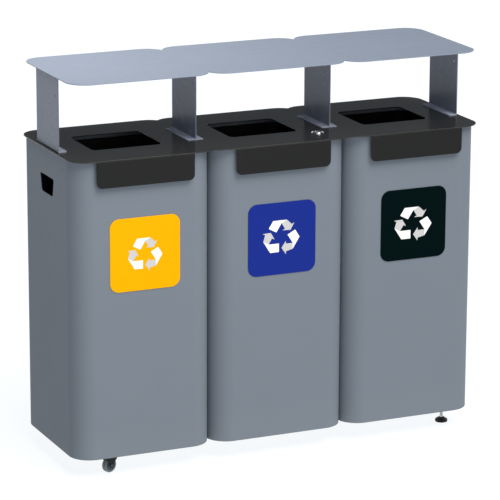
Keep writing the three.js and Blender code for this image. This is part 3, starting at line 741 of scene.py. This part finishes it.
def make_hinge(number):
    """Casing leaf with three screws and two outer knuckles, lid leaf with the middle one, and the pin."""
    low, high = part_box(f"hinge_{number}_casing_leaf")
    lid_low, lid_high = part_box(f"hinge_{number}_lid_leaf")
    pin_low, pin_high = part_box(f"hinge_{number}_pin")
    centre = (pin_low + pin_high) / 2
    centre.x = (low.x + high.x) / 2
    third = HINGE_SIDE / 3
    leaf_top = centre.z - HINGE_KNUCKLE * 1.1
    leaf = block(f"hinge_{number}_lower_leaf", low, (high.x, low.y + CASING_SHEET, leaf_top))
    bevel(leaf, lambda e: along(e, 1) and near(middle(e).z, low.z), 8 * MM, 6)
    soften(leaf, 0.3 * MM)
    parts = []
    for side in (-1, 1):
        x0, x1 = sorted((centre.x + side * (third + KNUCKLE_PLAY), centre.x + side * HINGE_SIDE))
        parts.append(knuckle("outer_knuckle", x0, x1, centre))
        web_low = (x0, low.y, centre.z - HINGE_KNUCKLE * 1.3)
        web = block("knuckle_web", web_low, (x1, centre.y, centre.z - MM))
        soften(web, 0.4 * MM)
        parts.append(web)
    give(merge(leaf, *parts), ZINC, "root", "zinc_plate", f"hinge_{number}_casing_leaf")

    strip_high = (lid_high.x, lid_low.y + CASING_SHEET, lid_high.z)
    strip = block(f"hinge_{number}_upper_leaf", (lid_low.x, lid_low.y, centre.z + 3.4 * MM), strip_high)
    soften(strip, 0.3 * MM)
    x0, x1 = centre.x - third + KNUCKLE_PLAY, centre.x + third - KNUCKLE_PLAY
    web = block("knuckle_web", (x0, lid_low.y, centre.z), (x1, centre.y, lid_high.z))
    soften(web, 0.4 * MM)
    give(merge(strip, web, knuckle("middle_knuckle", x0, x1, centre)), BLACK_PAINT, "lid", "black_paint",
         f"hinge_{number}_lid_leaf")

    head = turned("pin_head", [(0, 0), (4.5, 0), (4.5, 1), (3, 2), (0, 2)], 32)
    put(head, facing((1, 0, 0), (pin_high.x - 2 * MM, centre.y, centre.z)))
    ends = (pin_low.x, centre.y, centre.z), (pin_high.x - MM, centre.y, centre.z)
    pin = bar(f"hinge_{number}_pin_steel", HINGE_PIN, *ends, 24)
    soften(pin, 0.3 * MM)
    give(merge(pin, head), STEEL, "root", "bright_steel", f"hinge_{number}_pin")

    screws = screw(f"hinge_{number}_screws", 5, 2.6, 1.7)
    row = Vector((centre.x, low.y + CASING_SHEET, low.z + HINGE_SCREW_HEIGHT))
    pitch = Vector((HINGE_SCREW_PITCH, 0, 0))
    places = [facing((0, 1, 0), row + step * pitch) for step in (-1, 0, 1)]
    give(repeated(screws, places), ZINC, "root", "zinc_plate")


# ---- tie bolts ------------------------------------------------------------------------------------
TIE_SHANK = 4 * MM
TIE_HEX = 6.5 * MM
TIE_WASHER = 7.5 * MM
TIE_PLAY = 0.45 * MM


def make_tie_bolt(number):
    """Bolt through two casing walls, its head and its nut alike, each on a washer."""
    low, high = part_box(f"tie_bolt_{number}")
    centre = (low + high) / 2
    centre.x = module_joints()[number - 1]
    grip = CASING_SHEET + TIE_PLAY
    pieces = []
    for side in (-1, 1):
        seat = centre + Vector((side * grip, 0, 0))
        step = Vector((side * MM, 0, 0))
        nut = bar("tie_hexagon", TIE_HEX, seat + step, seat + 5 * step, 6)
        washer = bar("tie_washer", TIE_WASHER, seat, seat + step)
        pieces += [soften(nut, 0.7 * MM), soften(washer, 0.2 * MM)]
    half = Vector(((high.x - low.x) / 2, 0, 0))
    shank = bar(f"tie_bolt_{number}_steel", TIE_SHANK, centre - half, centre + half, 24)
    soften(shank, 0.5 * MM)
    give(merge(shank, *pieces), ZINC, "root", "zinc_plate", f"tie_bolt_{number}")


# ---- gas struts -------------------------------------------------------------------------------------
# The right strut's pivots, then places along it in mm from the lower one.
STRUT_LOWER = Vector((0.643, 0.179, 0.741))
STRUT_UPPER = Vector((0.643, 0.159, 0.959))
BARREL_START, BARREL_STOP = 14, 172
BORE_START, ROD_START = 60, 70
EYE_RADIUS = 7.5 * MM
STUD_RADIUS = 3.8 * MM


def strut_eye(at):
    """Flat eye with a hole for the stud."""
    half = Vector((3 * MM, 0, 0))
    eye = bar("strut_eye", EYE_RADIUS, at - half, at + half)
    carve(eye, bar("eye_cutter", STUD_RADIUS + 0.1 * MM, at - 3 * half, at + 3 * half, 24))
    return soften(eye, 0.5 * MM)


def make_strut(side, sign):
    """Gas spring: painted cylinder with rolled ends, bright rod, and an eye at each end."""
    lower = Vector((sign * STRUT_LOWER.x, STRUT_LOWER.y, STRUT_LOWER.z))
    upper = Vector((sign * STRUT_UPPER.x, STRUT_UPPER.y, STRUT_UPPER.z))
    place = facing(upper - lower, lower)
    top = (upper - lower).length / MM
    r, groove, bore = 9, 8.2, 4.6
    base = [(0, BARREL_START), (6, BARREL_START), (8, BARREL_START + 1), (r, BARREL_START + 3.5)]
    crimp = [(r, 152), (groove, 153.5), (groove, 155.5), (r, 157)]
    mouth = [(r, 168), (8.4, 170.5), (7, BARREL_STOP), (bore, BARREL_STOP), (bore, BORE_START)]
    barrel = turned(f"strut_{side}_barrel", base + crimp + mouth + [(0, BORE_START)])
    soften(barrel, 0.4 * MM)
    neck = turned("strut_neck", [(0, 3), (4, 3), (4, 14.6), (0, 14.6)], 24)
    cylinder = merge(put(barrel, place), put(neck, place), strut_eye(lower))
    node = f"strut_{side}_cylinder"
    give(cylinder, STRUT_PAINT, node, "strut_paint", node)
    end_fitting = [(4, top - 14), (4.8, top - 13), (4.8, top - 7), (0, top - 7)]
    rod = turned(f"strut_{side}_piston_rod", [(0, ROD_START), (4, ROD_START)] + end_fitting, 32)
    soften(rod, 0.3 * MM)
    node = f"strut_{side}_rod"
    give(merge(put(rod, place), strut_eye(upper)), STEEL, node, "bright_steel", node)


def flat(x0, x1, y0, y1, z0, z1):
    """Two opposite corners of a flat of sheet, whichever way round its X values come."""
    return Vector((min(x0, x1), y0, z0)), Vector((max(x0, x1), y1, z1))


def folded(name, flats):
    """A folded bracket from overlapping flats with round edges."""
    sheets = [soften(block(name, low, high), 0.6 * MM) for low, high in flats]
    for other in sheets[1:]:
        carve(sheets[0], other, "UNION")
    return sheets[0]


def fitted(bracket, start, end, screws, way):
    """The bracket with its pivot stud and its screws, which look one way."""
    stud = soften(bar("bracket_stud", STUD_RADIUS, start, end, 28), 0.5 * MM)
    heads = repeated(screw("bracket_screw", 4.5, 2.4, 1.5), [facing(way, at) for at in screws])
    return merge(bracket, stud, heads)


def make_casing_bracket(side, sign):
    """Lower bracket: screwed to the end wall, and bent twice to reach the strut's lower eye."""
    low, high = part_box(f"strut_{side}_casing_bracket")
    wall = high.x if sign > 0 else low.x
    axis, y, z = sign * STRUT_LOWER.x, STRUT_LOWER.y, STRUT_LOWER.z
    inner, web = axis + sign * 5 * MM, y - 17 * MM
    flats = [flat(wall, wall - sign * SHEET, y - 50 * MM, web, z - 24 * MM, z + 24 * MM),
             flat(wall, inner, web - SHEET, web, z - 10 * MM, z + 10 * MM),
             flat(inner, inner + sign * SHEET, web - SHEET, y + 9 * MM, z - 10 * MM, z + 10 * MM)]
    bracket = folded(f"strut_{side}_lower_bracket", flats)
    screws = [(wall - sign * SHEET, y - 36 * MM, z + step * 16 * MM) for step in (-1, 1)]
    whole = fitted(bracket, (inner + sign * MM, y, z), (axis - sign * 4 * MM, y, z), screws, (-sign, 0, 0))
    give(whole, ZINC, "root", "zinc_plate", f"strut_{side}_casing_bracket")


def make_lid_bracket(side, sign):
    """Upper bracket: an angle screwed under the top, its leg beside the strut's upper eye."""
    low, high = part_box(f"strut_{side}_lid_bracket")
    axis, y, z = sign * STRUT_UPPER.x, STRUT_UPPER.y, STRUT_UPPER.z
    leg = axis - sign * 7 * MM
    back = leg - sign * SHEET
    flats = [flat(leg, back, low.y, high.y, low.z, high.z),
             flat(back, axis + sign * 8 * MM, low.y, high.y, high.z - SHEET, high.z)]
    bracket = folded(f"strut_{side}_upper_bracket", flats)
    screws = [(axis + sign * 2 * MM, y + step * 5.5 * MM, high.z - SHEET) for step in (-1, 1)]
    whole = fitted(bracket, (leg - sign * MM, y, z), (axis - sign * 3.6 * MM, y, z), screws, (0, 0, -1))
    give(whole, ZINC, "lid", "zinc_plate", f"strut_{side}_lid_bracket")


# ---- key lock -----------------------------------------------------------------------------------------
LOCK_SEAT = 9 * MM
BEZEL_RIM = 2.7
BEZEL_MIDDLE = 15.3


def make_lock():
    """Round bezel with a domed rim and a sunk face, and a plug with a grip bar and a cam."""
    low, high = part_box("lock_case")
    centre = (low + high) / 2
    place = Matrix.Translation((centre.x, centre.y, low.z + LOCK_SEAT))
    dome = arc(BEZEL_MIDDLE, 1.3, BEZEL_RIM, 0, 180, 9)
    sleeve = [(9.5, -9), (9.5, 0.3), (18, 0.3)]
    case = turned("lock_bezel", sleeve + dome + [(12.5, 1.5), (7, 1.5), (7, -9)], 48)
    give(put(case, place), STEEL, "lid", "bright_steel", "lock_case")
    plug = turned("lock_barrel", [(0, -14), (6.3, -14), (6.8, -13.5), (6.8, 2), (0, 2)])
    grip = block("lock_grip", Vector((-2.5, -10.5, 1.8)) * MM, Vector((2.5, 10.5, 5)) * MM)
    bevel(grip, lambda e: along(e, 2), 2.3 * MM, 6)
    soften(grip, 0.7 * MM, 3)
    arm = block("lock_cam", Vector((-7, -7, -12)) * MM, Vector((7, 57, -9.4)) * MM)
    bevel(arm, lambda e: along(e, 2), 6.5 * MM, 7)
    soften(arm, 0.4 * MM)
    nut = bar("lock_nut", 5.5 * MM, (0, 0, -13.6 * MM), (0, 0, -16 * MM), 6)
    soften(nut, 0.5 * MM)
    whole = put(merge(plug, grip, arm, nut), place)
    give(whole, SATIN_STEEL, "lock_plug", "bright_steel", "lock_plug")


# ---- casters: sizes in mm, the turn in degrees ------------------------------------------------------------
WHEEL_RADIUS = 23
WHEEL_HALF = 8.5
TRAIL = 12
FORK_REACH = 33
FORK_SHEET = 2
FORK_PLAY = 0.8
CASTER_PLATE_HALF = 23
CASTER_PLATE_LOW, CASTER_PLATE_HIGH = 67.5, 70
CASTER_BOLT = 18
CASTER_TURN = -69


def wheel_profile():
    """Half section of the tyre and its dished web, in mm: (radius, place along the axle)."""
    bore, shoulder = 3.15, 3.5
    web = [(7, WHEEL_HALF), (8, 3.8), (15.6, 3.4), (16.6, 8.1)]
    crown = arc(WHEEL_RADIUS - shoulder, WHEEL_HALF - shoulder, shoulder, 0, 90, 6)
    side = web + crown[::-1]
    return [(bore, -WHEEL_HALF)] + [(r, -z) for r, z in side] + side[::-1] + [(bore, WHEEL_HALF)]


def make_wheel(name, place):
    """Grey wheel: a round-shouldered tyre with two fine grooves, a dished web and ten ribs on each face."""
    wheel = turned(name, wheel_profile(), 56)
    for shift in (-3, 3):
        section = [(22.3, -0.4), (24, -0.6), (24, 0.6), (22.3, 0.4)]
        carve(wheel, turned("groove_cutter", [(r, shift + z) for r, z in section], 56))
    ribs = []
    for floor, crest in ((-7.8, -3), (3, 7.8)):
        rib = block("wheel_rib", Vector((6.8, -0.8, floor)) * MM, Vector((16.2, 0.8, crest)) * MM)
        turns = [Matrix.Rotation(math.radians(36 * turn), 4, "Z") for turn in range(10)]
        ribs.append(repeated(soften(rib, 0.35 * MM), turns))
    return put(merge(smooth(wheel), *ribs), place)


def fork_leg(x):
    """One leg: wide under the crown, narrowing to a round boss at the axle."""
    boss, top = 7, 22
    hood = [(-FORK_REACH, 57.5), (-FORK_REACH, 48), (-FORK_REACH + 5, 43)]
    outline = hood + arc(-TRAIL, WHEEL_RADIUS, boss, 180, 360, 8) + [(top, 54), (top, 57.5)]
    leg = cut_sheet("fork_leg", [(a * MM, b * MM) for a, b in outline], 0, FORK_SHEET * MM)
    return soften(put(leg, Matrix.Translation((x * MM, 0, 0)) @ UPRIGHT), 0.5 * MM)


def make_caster(side):
    """Swivel caster: plate and ball race, fork, wheel and axle."""
    low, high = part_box(f"caster_{side}_plate")
    centre = (low + high) / 2
    turn = Matrix.Rotation(math.radians(CASTER_TURN), 4, "Z")
    place = Matrix.Translation((centre.x, centre.y, 0)) @ turn
    corners = [Vector((way * CASTER_PLATE_HALF, way * CASTER_PLATE_HALF, z)) * MM
               for way, z in ((-1, CASTER_PLATE_LOW), (1, CASTER_PLATE_HIGH))]
    plate = block(f"caster_{side}_top_plate", *corners)
    bevel(plate, lambda e: along(e, 2), 5 * MM, 6)
    soften(plate, 0.4 * MM)
    bowl = [(11, 61), (13.2, 61.6), (14, 63.2), (14, 65.4), (12.6, 67.6)]
    race = turned("swivel_race", [(0, 61)] + bowl + [(0, 67.6)])
    seats = [Vector((CASTER_BOLT * x, CASTER_BOLT * y, CASTER_PLATE_LOW)) for x in (-1, 1) for y in (-1, 1)]
    heads = repeated(screw("caster_screw", 3.6, 2, 1.4), [facing((0, 0, -1), seat * MM) for seat in seats])
    give(put(merge(plate, race, heads), place), ZINC, "root", "zinc_plate", f"caster_{side}_plate")

    rim = [(0, 55.5), (20, 55.5), (21, 56.3), (21, 57.4), (18, 58.4), (15, 58.8)]
    crown = turned(f"caster_{side}_crown", rim + [(15, 60.2), (14.4, 60.6), (0, 60.6)], 48)
    inner = WHEEL_HALF + FORK_PLAY
    fork = put(merge(crown, fork_leg(-inner - FORK_SHEET), fork_leg(inner)), place)
    node = f"caster_{side}_fork"
    give(fork, BLACK_NYLON, node, "black_nylon", node)

    axle_line = Matrix.Translation((0, -TRAIL * MM, WHEEL_RADIUS * MM)) @ facing((1, 0, 0))
    wheel = make_wheel(f"caster_{side}_tyre", place @ axle_line)
    give(wheel, GREY_RUBBER, f"caster_{side}_wheel", "caster_rubber", f"caster_{side}_wheel")

    end = WHEEL_HALF + FORK_PLAY + FORK_SHEET + 1.8
    head = [(3, end - 1.6), (4, end - 1.6), (4, end - 0.5), (3.4, end), (0, end)]
    axle = turned(f"caster_{side}_axle_pin", [(r, -z) for r, z in reversed(head)] + head, 32)
    give(put(axle, place @ axle_line), DARK_STEEL, node, "bright_steel", f"caster_{side}_axle")


# ---- levelling feet: sizes in mm ---------------------------------------------------------------------------
STUD_CREST, STUD_ROOT, STUD_PITCH = 5, 4.35, 1.5
THREAD_START = 22
COLLAR_LOW, COLLAR_HIGH, COLLAR_RADIUS = 16, 20, 6.4
NUT_RADIUS, NUT_BORE = 9.5, 5.3


def threads(low, high):
    """Points of the stud's flank from its low to its high end."""
    points = []
    for turn in range(int((high - low) / STUD_PITCH)):
        start = low + turn * STUD_PITCH
        points += [(STUD_ROOT, start), (STUD_CREST, start + 0.5 * STUD_PITCH)]
    return points


def make_foot(side):
    """Adjustable foot: moulded pad, threaded stud with a hexagon collar, and its nut on the tray."""
    low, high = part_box(f"foot_{side}_pad")
    place = Matrix.Translation(((low.x + high.x) / 2, (low.y + high.y) / 2, 0))
    sole = [(0, 0), (18.4, 0), (19.5, 0.5), (20, 1.6)]  # then the shoulder, the cone and the stud's socket
    cone = [(17.6, 9.4), (11, 13.2), (9.6, 14.3), (8.8, 14.5)]
    socket = [(5.3, 14.5), (5.3, 4), (0, 4)]
    pad = turned(f"foot_{side}_moulded_pad", sole + arc(19, 7.2, 1, 0, 60, 6) + cone + socket, 56)
    give(put(pad, place), BLACK_NYLON, f"foot_{side}", "black_nylon", f"foot_{side}_pad")

    stud_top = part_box(f"foot_{side}_stud")[1].z / MM
    plain = [(0, 4.3), (4.6, 4.3), (STUD_CREST, 4.8), (STUD_CREST, THREAD_START - 0.5)]
    flank = threads(THREAD_START, stud_top - 1.2)
    tip = [(4.3, stud_top - 0.6), (3.6, stud_top), (0, stud_top)]
    stud = turned(f"foot_{side}_threaded_stud", plain + flank + tip, 24)
    ends = (0, 0, COLLAR_LOW * MM), (0, 0, COLLAR_HIGH * MM)
    collar = soften(bar("stud_collar", COLLAR_RADIUS * MM, *ends, 6), 0.8 * MM)
    give(put(merge(stud, collar), place), ZINC, f"foot_{side}", "zinc_plate", f"foot_{side}_stud")

    nut_low, nut_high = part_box(f"foot_{side}_nut")
    nut = bar(f"foot_{side}_lock_nut", NUT_RADIUS * MM, (0, 0, nut_low.z), (0, 0, nut_high.z), 6)
    soften(nut, MM)
    ends = (0, 0, nut_low.z - 10 * MM), (0, 0, nut_high.z + 10 * MM)
    carve(nut, bar("nut_cutter", NUT_BORE * MM, *ends))
    give(put(nut, place), ZINC, "root", "zinc_plate", f"foot_{side}_nut")


# ---- the bench ----------------------------------------------------------------------------------
def make_camera():
    """Long lens from the front left, a little above the canopy."""
    yaw, pitch, roll = (math.radians(a) for a in (24.232, 14.901, 0.215))
    ahead = Vector((math.sin(yaw) * math.cos(pitch), math.cos(yaw) * math.cos(pitch), -math.sin(pitch)))
    right = Vector((math.cos(yaw), -math.sin(yaw), 0))
    up = right.cross(ahead)
    right, up = right * math.cos(roll) + up * math.sin(roll), up * math.cos(roll) - right * math.sin(roll)
    data = bpy.data.cameras.new("camera")
    data.sensor_width = 36
    data.lens = 212.2
    camera = bpy.data.objects.new("camera", data)
    camera.rotation_mode = "QUATERNION"
    camera.rotation_quaternion = Matrix((right, up, -ahead)).transposed().to_quaternion()
    camera.location = (-3.655, -8.115, 2.967)
    SCENE.collection.objects.link(camera)
    SCENE.camera = camera


def aimed(name, kind, place, target, energy, colour):
    """A light that looks from its place at a target."""
    data = bpy.data.lights.new(name, kind)
    data.energy = energy
    data.color = colour
    light = bpy.data.objects.new(name, data)
    light.location = place
    light.rotation_mode = "QUATERNION"
    light.rotation_quaternion = (Vector(target) - Vector(place)).to_track_quat("-Z", "Y")
    SCENE.collection.objects.link(light)
    return data


def broad(name, direction, energy, spread, colour):
    """Far light from a direction, as soft as its spread in degrees is wide."""
    aimed(name, "SUN", direction, (0, 0, 0), energy, colour).angle = math.radians(spread)


def panel(name, place, target, wide, deep, energy, colour):
    """Rectangular soft box, its sides in metres."""
    data = aimed(name, "AREA", place, target, energy, colour)
    data.shape = "RECTANGLE"
    data.size, data.size_y = wide, deep


def make_floor():
    """Wide pale paper that gives off most of its own light."""
    clear_selection()
    bpy.ops.mesh.primitive_plane_add(size=80, location=(0, 0, 0))
    floor = bpy.context.object
    floor.name = "floor"
    paper = Finish("floor_paper", (0.12, 0.13, 0.15), 0.9, gloss=0.1)
    paper.shader.inputs["Emission Color"].default_value = (0.97, 0.99, 1, 1)
    paper.shader.inputs["Emission Strength"].default_value = 0.89
    paper.bump(paper.noise(3, 2.0), 0.1 * MM, 0.1)
    floor.data.materials.append(paper.material)


def make_stage():
    """Pale floor, a dim cool room, a broad key from above in front, and soft fills round it."""
    make_floor()
    world = bpy.data.worlds.new("studio")
    SCENE.world = world
    world.use_nodes = True
    room = world.node_tree.nodes["Background"]
    room.inputs["Color"].default_value = (0.85, 0.92, 1.0, 1)
    room.inputs["Strength"].default_value = 0.13
    broad("key", (0.9, -3.2, 5.2), 3.8, 42, (1.0, 0.985, 0.93))
    panel("soft_box", (-0.7, 0.25, 2.3), (-0.65, 0, 0), 0.9, 0.6, 14, (1.0, 0.93, 0.86))
    broad("rim", (1.0, 0.6, 0.3), 0.8, 40, (0.9, 0.95, 1.0))
    broad("back_fill", (0.0, 1.0, 0.12), 0.85, 25, (0.93, 0.97, 1.0))
    panel("front_strip", (-0.25, -1.45, 1.30), (-0.1, -0.2, 0.88), 1.7, 0.3, 4.5, (1.0, 0.98, 0.95))
    SCENE.view_settings.view_transform = "Standard"


make_camera()
make_stage()
for module in MODULES:
    make_casing(module)
    make_top_rim(module)
    make_floor_tray(module)
    make_liner(module)
    make_front_lip(module)
    make_sign(module)
make_top_plate()
for place in (1, 2, 3, 4):
    make_post(place)
make_canopy()
make_lock()
for pair in (1, 2):
    make_hinge(pair)
    make_tie_bolt(pair)
for hand, way in (("left", -1), ("right", 1)):
    make_strut(hand, way)
    make_casing_bracket(hand, way)
    make_lid_bracket(hand, way)
for hand in ("front", "rear"):
    make_caster(hand)
    make_foot(hand)
